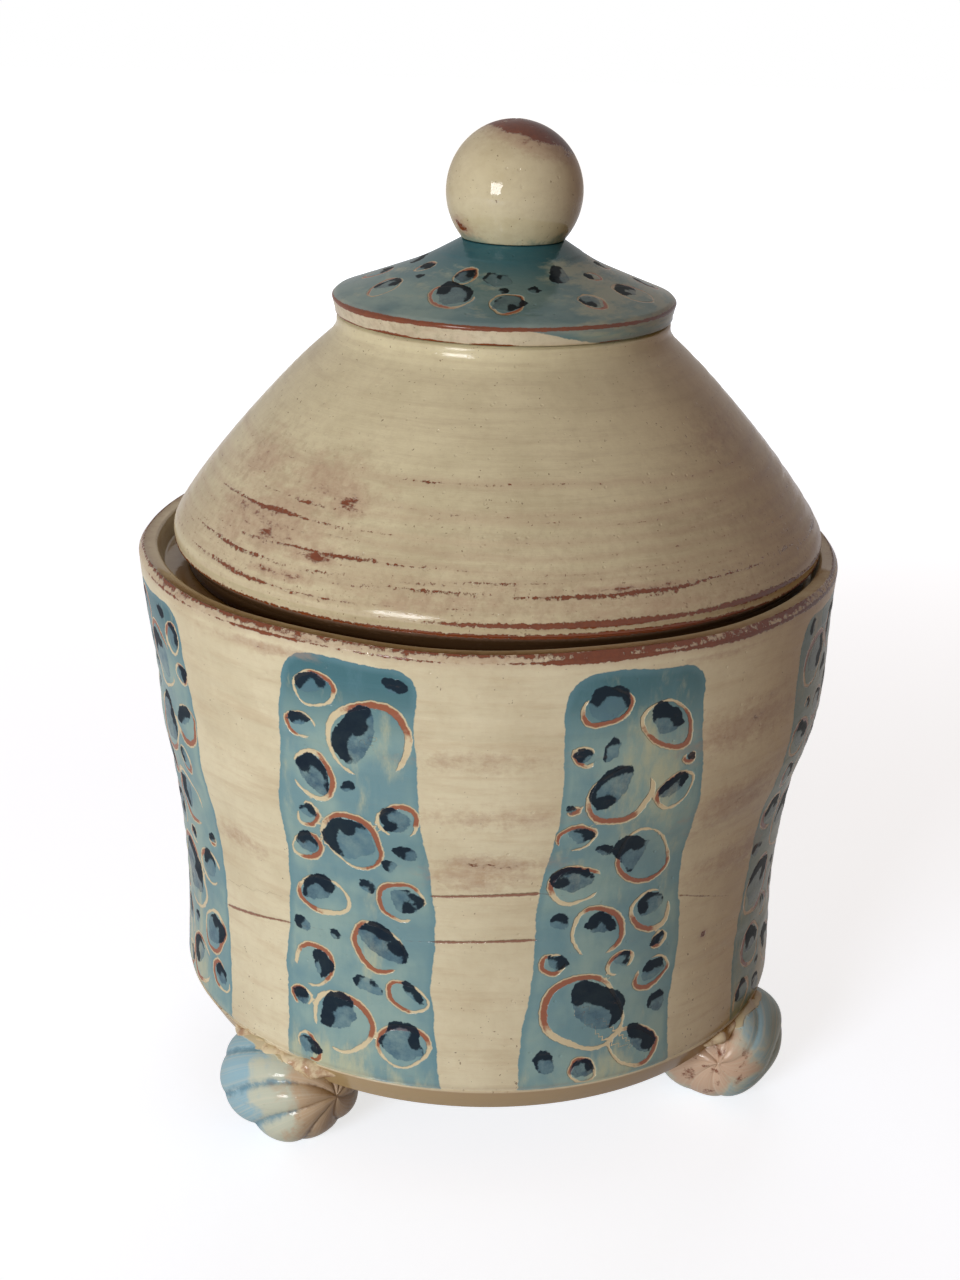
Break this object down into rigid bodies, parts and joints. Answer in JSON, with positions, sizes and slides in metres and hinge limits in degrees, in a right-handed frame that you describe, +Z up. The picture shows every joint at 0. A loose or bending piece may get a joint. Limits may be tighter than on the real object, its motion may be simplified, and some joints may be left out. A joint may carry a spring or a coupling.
{
  "type": "lidded ceramic jar",
  "caption": "Hand-thrown glazed earthenware jar on ribbed clay feet, with blue spotted stripes and a lift-off domed lid with a flared cap and ball knob.",
  "frame": {"origin": "centre of the bounding box at the plane the three feet stand on, which is the axis of the jar's rim", "axes": "+Z up along the jar's axis and its longest extent; -Y is the front as pictured, between the front left foot and the right foot; +X to the right"},
  "size_m": [0.2, 0.2, 0.2761],
  "materials": {
    "cream_slip_glaze": "cream slip over red earthenware under a glossy clear glaze, with painted blue bands and worn rust-red edges",
    "teal_glaze": "brushed teal slip under a glossy clear glaze, with scratched rings and dark blue dabs",
    "knob_slip_glaze": "cream slip under a glossy clear glaze, worn to red clay at the top",
    "foot_glaze": "pale blue, cream and pinkish slips pooled in the ribs under a glossy, slightly pearly glaze"
  },
  "bodies": {
    "jar": {"jar_body": "cream_slip_glaze", "foot_front_left": "foot_glaze", "foot_right": "foot_glaze", "foot_back": "foot_glaze"},
    "lid": {"lid_dome": "cream_slip_glaze", "lid_cap": "teal_glaze", "lid_knob": "knob_slip_glaze"}
  },
  "joints": [
    {"name": "lid_lift", "type": "slide", "parent": "jar", "child": "lid", "axis": [0, 0, 1], "range_m": [0, 0.15]}
  ]
}
